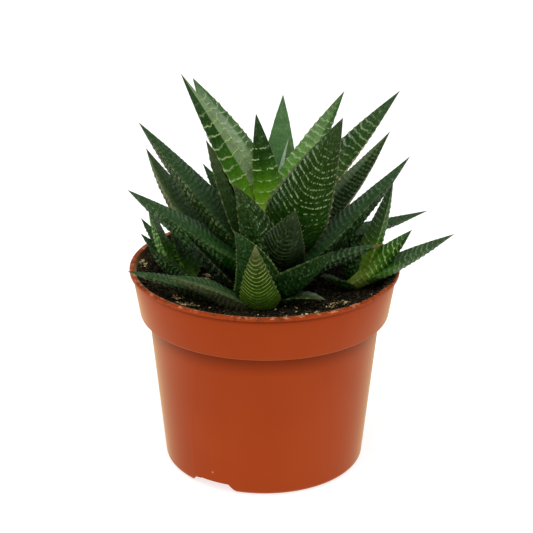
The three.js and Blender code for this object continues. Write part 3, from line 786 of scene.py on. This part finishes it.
def leaf_skin():
    """Waxy skin: the leaf's own tint, mottled and streaked, with painted shade between ridges, under pale
    broken ridges, knobs and painted highlights.
    """
    black, pale_green, painted_glint_white = (0, 0, 0, 1), (0.36, 0.54, 0.3, 1), srgb(156, 178, 156)
    material, shader, place = new_material("leaf_skin")
    read = {name: place.attribute(name, output=2) for name in LEAF_VALUES}
    tint, crest_tint = place.attribute("tint"), place.attribute("crest_tint")
    phase, pitch, wide, seed = read["phase"], read["pitch"], read["wide"], read["seed"]

    off_line = (0.5 - abs(phase.maths("FRACT") - 0.5)) * pitch
    line = (phase + 0.5).maths("FLOOR")
    on_line = place.add("ShaderNodeCombineXYZ", {}, {0: wide * read["grain"], 1: line * 3.7, 2: seed})
    run = on_line.noise(1.6, 1.5)
    drawn = run.between(read["broken"] - 0.05, read["broken"] + 0.05)
    thick = read["stroke"] * (0.6 + 0.9 * run)
    strength = 0.5 + 0.5 * on_line.noise(0.8, 1).between(0.3, 0.6)
    ridge = (1 - off_line.between(0.5 * thick, 1.5 * thick)) * drawn * read["mark"] * strength
    knob = (1 - place.cells(880.0).between(0.12, 0.42)) * read["knobs"]
    # Painted shade: the skin is darker in the hollows between ridges.
    painted_groove_shade = off_line.between(0.25 * pitch, 0.5 * pitch) * read["knobs"]
    mottle = place.noise(190, 4, 0.75)
    on_leaf = place.add("ShaderNodeCombineXYZ", {}, {0: wide * 1.2, 1: phase * pitch * 0.8, 2: seed})
    streak = on_leaf.noise(1.0, 4, 0.7)
    # Painted highlights: white flecks on the ridges, towards the side of the leaf that faces the light.
    painted_glint = (1 - off_line.between(0.25, 0.9)) * on_leaf.noise(2.2, 2, 0.6).between(0.44, 0.6) * read["painted_glint"]

    skin = (mottle.between(0.42, 0.62) * 0.6).mix(tint, tint.mixed_with(black, 0.4))
    rough_skin = 0.4 + 0.8 * read["knobs"]
    skin = (streak.between(0.52, 0.32) * rough_skin).mix(skin, skin.mixed_with(black, 0.38))
    skin = (streak.between(0.52, 0.72) * rough_skin).mix(skin, tint.mixed_with(pale_green, 0.42))
    # The knobs are pale tubercles, and their pale tint is partly a painted highlight.
    skin = (knob * 0.45).mix(skin, tint.mixed_with(pale_green, 0.45))
    skin = (painted_groove_shade * 0.65).mix(skin, skin.mixed_with(black, 0.5))
    skin = painted_glint.mix(skin, painted_glint_white)
    skin = (ridge * 0.95).mix(skin, crest_tint)
    relief = 0.8 * ridge + 0.7 * knob + 0.5 * painted_glint + 0.1 * place.noise(2200, 2)
    paint(
        shader, Base_Color=skin, Roughness=0.42 + 0.1 * mottle - 0.1 * ridge,
        Normal=place.bump(relief, strength=0.8, distance=0.0004),
        Specular_IOR_Level=0.06, Specular_Tint=(0.7, 0.9, 0.45, 1),
    )
    return material


def grow(name, leaves, stem, node, first_seed):
    """Makes one piece of a rosette from its leaves. Each leaf's seed sets how its ridges wander."""
    bm = bmesh.new()
    for value in LEAF_VALUES:
        bm.verts.layers.float.new(value)
    bm.verts.layers.float_color.new("tint")
    bm.verts.layers.float_color.new("crest_tint")
    for number, leaf in enumerate(leaves):
        add_leaf(bm, stem, first_seed + number * 1.37, **leaf)
    return finished(name, bm, LEAF_SKIN, "root", node, 80)


LEAF_SKIN = leaf_skin()

# A stem: its x and y in mm at STEM_FOOT over the pot's foot, and how far it leans along x and y per mm up
MAIN_STEM = (*STEM_FEET["main"][:2], 0.06, 0.4)
grow("crown_leaves", [
    # The first crown leaf's pale band near one edge is a painted highlight.
    dict(foot=(3, -8, 113.5), tip=(-36.5, 6, 178.5), width=15.5, roll=-25, taper=2.2, flesh=0.7,
         tone="spring", marks="bars", lines=(178, 200, 112), knobs=0, margin=((190, 206, 140), 0.6),
         painted_glint=0.8, painted_glint_side=-1, band=((0.2, 0.3), (126, 150, 106))),
    dict(foot=(4, -4, 117.5), tip=(-32, 24, 171), width=21, roll=-30, taper=2.2, tone="window",
         marks="veil", lines=(190, 206, 160), knobs=0.45, band=((0.5, 0.68), (56, 94, 42)), painted_glint=0.3),
    dict(foot=(3, -6, 119.5), tip=(-4, 6, 160.5), width=15, tone="spring", marks="dashes",
         lines=(182, 206, 130), knobs=0.1, keel_line=0.5, painted_glint=0.3),
    dict(foot=(5.5, 0, 120.5), tip=(8, 34, 160.5), width=18, bow=-1, taper=1.7, tone="glassy",
         marks="plain", knobs=0, relief=0.2, painted_glint=0),
    # This small leaf's pale band along one side is a painted sheen.
    dict(foot=(7, -4, 120.5), tip=(10.5, 14, 147), width=9, bow=-1, tone="sage", marks="plain", knobs=0,
         relief=0.2, painted_glint=0, band=((-0.2, -0.5), (160, 184, 156))),
    dict(foot=(4.5, -4, 121.5), tip=(35, 22, 166), width=15.5, roll=20, taper=1.9, flesh=0.7, tone="lime",
         marks="stripes", lines=(190, 210, 144), knobs=0.3, margin=((180, 196, 150), 0.6),
         painted_glint=0.7, band=((0.3, 0.5), (44, 82, 32))),
    dict(foot=(11, -10, 108.5), tip=(32.5, -26, 169), width=30, bow=-3, faces=-100, taper=1.7, skew=0.1,
         tone="bronze", marks="arcs", lines=(162, 186, 128), knobs=0, margin=((160, 154, 118), 0.7),
         painted_glint=0.9, painted_glint_side=1),
    dict(foot=(3, -8, 110), tip=(58.5, 8, 170.5), width=20, roll=22, taper=2.2, flesh=0.8, tone="olive",
         marks="stripes", lines=(168, 188, 130), knobs=0.4, margin=((180, 172, 122), 0.9), painted_glint=1),
], MAIN_STEM, "main_rosette", 0)


# Upper front leaves: fleshy like the crown, and most stand before it with their undersides to the front,
# where the cross lines hang as threads, hoops and rows of dots. They are grown as the crown leaves are.
grow("upper_front_leaves", [
    dict(foot=(-5.5, -16, 108), tip=(-25.5, -6, 152.5), width=19.5, taper=2.2, tone="ash", marks="plain",
         knobs=0.2, margin=((150, 142, 104), 0.6), painted_glint=0.2),
    dict(foot=(0, -26, 90), tip=(-13.5, -26, 139.5), width=22, bow=-3, sway=-4, faces=-80, tone="dusk",
         marks="beads", lines=(136, 158, 128), knobs=0.35, marked=(0.1, -0.35), painted_glint=0.2),
    dict(foot=(5, -20, 101.5), tip=(13, -40, 133), width=24, bow=-3, faces=-95, tone="umber",
         marks="threads", lines=(64, 84, 46), knobs=0, painted_glint=0.2, painted_glint_side=1, marked=(-0.5, -0.3),
         band=((-0.3, -0.45), (36, 50, 28))),
    dict(foot=(-2.5, -30, 86), tip=(-13, -36, 122), width=22.5, bow=-3, sway=-4, faces=-95, tone="deep",
         marks="dots", lines=(46, 84, 28), knobs=0.15, margin=((136, 150, 84), 1), painted_glint=0),
    dict(foot=(-1, -30, 85.5), tip=(-4, -43, 118.5), width=18.5, bow=-5, faces=-95, tone="moss",
         marks="hoops", lines=(166, 192, 90), knobs=0, margin=((136, 150, 84), 0.8), painted_glint=0),
    dict(foot=(2.5, -25, 95), tip=(29, -42, 115.5), width=22, roll=-10, flesh=0.95, tone="deep",
         marks="plain", knobs=0.2, painted_glint=0.1),
], MAIN_STEM, "main_rosette", 10)


# Left leaves: long dark leaves that reach up and out to the left, knobbly underneath with buff ridges.
# Two thin ones stand behind them and a short dark one before them, all on the same stem.
grow("left_leaves", [
    dict(foot=(-4, -10, 105), tip=(-55, 4, 157), width=22, flesh=0.95, tone="slate",
         lines=(146, 144, 102), over_lines=(92, 118, 84), band=((-0.1, -0.7), (28, 64, 14))),
    dict(foot=(-8.5, -8, 96.5), tip=(-52.5, 12, 142.5), width=23, bow=-4, flesh=0.95, tone="smoke",
         lines=(146, 138, 100), over_lines=(92, 112, 80), band=((-0.6, -0.8), (98, 114, 54))),
    dict(foot=(-6.5, -15, 101), tip=(-59, -16, 133), width=23, flesh=0.9, tone="slate"),
    dict(foot=(-4, -2, 104.5), tip=(-28, 26, 130.5), width=14),
    dict(foot=(-3, -4, 110), tip=(-24.5, 20, 145), width=14),
    dict(foot=(-11.5, -20, 91), tip=(-33, -24, 114.5), width=15, flesh=0.8, tone="night", marks="beads",
         lines=(84, 100, 78), knobs=0.4),
], MAIN_STEM, "main_rosette", 20)


# Right leaves: their match at the right, on the same stem, narrower and with cross ridges like rungs.
# The last one lies low over the right offset, and its tip is dry and brown.
grow("right_leaves", [
    # The first right leaf's lighter band on its upper side is painted light from above.
    dict(foot=(6.5, -8, 100), tip=(55.5, 20, 148), width=20, roll=10, bow=-3, flesh=0.85, tone="dusk",
         marks="ribs", lines=(118, 138, 102), margin=((176, 160, 116), 0.9),
         band=((-0.1, -0.45), (96, 118, 84)), painted_glint=0.2),
    dict(foot=(4.5, -14, 91.5), tip=(62.5, -8, 146), width=22, roll=5, bow=-1.5, flesh=0.9, tone="deep",
         marks="rungs", lines=(88, 110, 84), marked=(0.4, -0.1), painted_glint=0.6),
    dict(foot=(9, -2, 103), tip=(74, 24, 109), width=16, bow=-1, flesh=0.8, tone="deep",
         lines=(96, 112, 80), painted_glint=0.2),
    dict(foot=(9, -18, 94), tip=(51.5, -24, 111.5), width=16, bow=2, flesh=0.7, tone="deep", marks="rungs",
         dry=0.93, lines=(104, 118, 92), knobs=1),
], MAIN_STEM, "main_rosette", 30)


# Low leaves: the oldest, at the stem's foot. They lie out flat to the front and left above the soil,
# and the tip of one lies over the lip.
grow("low_leaves", [
    # The first low leaf's greyish band on its upper side is a painted highlight.
    dict(foot=(6, -28, 87.5), tip=(26, -42, 93), width=13, bow=2, tone="ash", marks="plain", painted_glint=1,
         band=((0.1, -0.5), (100, 112, 88))),
    dict(foot=(-6, -28, 86), tip=(-42, -38, 102), width=19, bow=2, flesh=0.8, tone="slate",
         lines=(124, 118, 84), painted_glint=0.5, band=((-0.1, -0.5), (92, 104, 66))),
    dict(foot=(-8.5, -22, 84.5), tip=(-59, -30, 101), width=18, bow=1, flesh=0.7, tone="slate",
         lines=(124, 118, 84), painted_glint=0.8),
], MAIN_STEM, "main_rosette", 40)


# Back leaves: plain dark leaves that close the rosette behind, from the crown down to near the soil.
# They spring from the back of the same stem.
grow("back_leaves", [
    dict(foot=(6, -4, 104), tip=(30, 36, 128), width=18),
    dict(foot=(3, -3, 100), tip=(12, 44, 122), width=18),
    dict(foot=(-2, -4, 102), tip=(-12, 42, 126), width=18),
    dict(foot=(-5, -6, 98), tip=(-34, 34, 118), width=18),
    dict(foot=(8, -6, 96), tip=(46, 30, 112), width=16),
    dict(foot=(0, -5, 92), tip=(-4, 46, 104), width=17),
    dict(foot=(-8, -8, 93), tip=(-46, 26, 106), width=16),
], MAIN_STEM, "main_rosette", 50)


# Left offset: a young rosette at the main plant's foot, with small leaves of a mid green.
# It has its own short stem, upright in the soil, and is grown as the main rosette is.
LEFT_STEM = (*STEM_FEET["left"][:2], 0, 0)
grow("left_offset_leaves", [
    dict(foot=(-36.5, 0, 87.5), tip=(-51.5, 2, 122), width=13.5, bow=-1, flesh=0.8, tone="lush", marks="net",
         lines=(170, 198, 118), painted_glint=0.8),
    dict(foot=(-32, -2, 88), tip=(-51, -8, 103), width=16.5, flesh=0.8, tone="leafy", marks="dots",
         lines=(140, 170, 122), knobs=1),
    dict(foot=(-29.5, 2, 86), tip=(-41, 4, 109), width=14, bow=-2, flesh=0.8, tone="shoot", marks="net",
         lines=(124, 168, 66), margin=((120, 104, 66), 0.8)),
    dict(foot=(-38, 5, 88), tip=(-56, 20, 106.5), width=10),
    dict(foot=(-38, 4, 87.5), tip=(-56, 16, 100.5), width=10),
    dict(foot=(-35, 6, 88), tip=(-38, 24, 104), width=11),
    dict(foot=(-33, 5, 88), tip=(-23, 20, 100), width=10),
], LEFT_STEM, "left_offset_rosette", 80)


# Right offset: a second young rosette, of a brighter green, whose longest leaves reach out over the lip.
# It has its own short stem, upright in the soil, and is grown as the main rosette is.
RIGHT_STEM = (*STEM_FEET["right"][:2], 0, 0)
grow("right_offset_leaves", [
    dict(foot=(38, -8, 87), tip=(56, -2, 133.5), width=17, bow=-1, flesh=0.8, tone="sprout", marks="rungs",
         lines=(160, 192, 142), knobs=0, margin=((176, 170, 124), 1), marked=(0.6, 0.3), painted_glint=0.1),
    dict(foot=(38.5, -11, 91), tip=(64, -12, 113.5), width=22, flesh=0.7, tone="sprout", marks="rungs",
         lines=(184, 210, 136), knobs=0, keel_line=0.5, painted_glint=0.3),
    dict(foot=(42, -10, 91), tip=(82, -18, 114), width=21, tone="shoot", marks="rungs",
         lines=(106, 134, 88), knobs=0.6, painted_glint=0.3),
    dict(foot=(37, -13, 88.5), tip=(24, -24, 96.5), width=13, bow=1, tone="leafy"),
    dict(foot=(39, -7, 88), tip=(38.6, -2.5, 112), width=9, faces=-90),
    dict(foot=(41, -5, 88), tip=(43, 10, 99), width=12),
    dict(foot=(43, -6, 89), tip=(60, 6, 101), width=13),
], RIGHT_STEM, "right_offset_rosette", 90)


# Studio: a white floor, even white light from all round and above, and the camera of the photograph.
# The floor glows a little, so that it stays white up to the pot and shows hardly any shadow.
FLOOR_HALF_SIZE = 6
WORLD_STRENGTH = 0.4
SIDE_LAMP_POWER = 2
SIDE_LAMP_SIZE = 0.9
SIDE_LAMP_PLACE = Vector((1.3, 0.3, 0.6))
LAMP_TARGET = Vector((0, 0, 0.1))
OVERHEAD_POWER = 2.2
OVERHEAD_SOFTNESS = math.radians(75)
OVERHEAD_TURN = (math.radians(18), math.radians(-6), 0)
CAMERA_LENS = 131.7
CAMERA_SENSOR = 36
CAMERA_FROM_POT = Vector((0, -0.8023, 0.4195))
CAMERA_PAN = math.radians(-0.06)
CAMERA_PITCH = math.radians(90 - 22.26)
CAMERA_ROLL = math.radians(0.226)


def pale_floor():
    material, shader, _ = new_material("pale_floor")
    paint(shader, Base_Color=srgb(170, 170, 170), Roughness=0.8)
    paint(shader, Emission_Color=(1, 1, 1, 1), Emission_Strength=0.75)
    return material


floor_bm = bmesh.new()
bmesh.ops.create_grid(floor_bm, x_segments=1, y_segments=1, size=FLOOR_HALF_SIZE)
floor_mesh = bpy.data.meshes.new("floor")
floor_bm.to_mesh(floor_mesh)
floor_bm.free()
floor_mesh.materials.append(pale_floor())
floor = bpy.data.objects.new("floor", floor_mesh)
bpy.context.collection.objects.link(floor)

world = bpy.data.worlds.new("studio")
world.use_nodes = True
world.node_tree.nodes["Background"].inputs["Color"].default_value = (1, 1, 1, 1)
world.node_tree.nodes["Background"].inputs["Strength"].default_value = WORLD_STRENGTH
bpy.context.scene.world = world
bpy.context.scene.view_settings.view_transform = "Standard"


def side_lamp(name, place):
    lamp = bpy.data.lights.new(name, "AREA")
    lamp.shape = "DISK"
    lamp.size = SIDE_LAMP_SIZE
    lamp.energy = SIDE_LAMP_POWER
    light = bpy.data.objects.new(name, lamp)
    light.location = place
    light.rotation_euler = (LAMP_TARGET - place).to_track_quat("-Z", "Y").to_euler()
    bpy.context.collection.objects.link(light)


side_lamp("left", SIDE_LAMP_PLACE * Vector((-1, 1, 1)))
side_lamp("right", SIDE_LAMP_PLACE)
sun = bpy.data.lights.new("overhead", "SUN")
sun.energy = OVERHEAD_POWER
sun.angle = OVERHEAD_SOFTNESS
overhead = bpy.data.objects.new("overhead", sun)
overhead.rotation_euler = OVERHEAD_TURN
bpy.context.collection.objects.link(overhead)

camera_data = bpy.data.cameras.new("camera")
camera_data.lens = CAMERA_LENS
camera_data.sensor_width = CAMERA_SENSOR
camera = bpy.data.objects.new("camera", camera_data)
turn = Matrix.Rotation(CAMERA_PAN, 4, "Z") @ Matrix.Rotation(CAMERA_PITCH, 4, "X")
turn = turn @ Matrix.Rotation(CAMERA_ROLL, 4, "Z")
camera.matrix_world = Matrix.Translation(POT_AXIS + CAMERA_FROM_POT) @ turn
bpy.context.collection.objects.link(camera)
bpy.context.scene.camera = camera
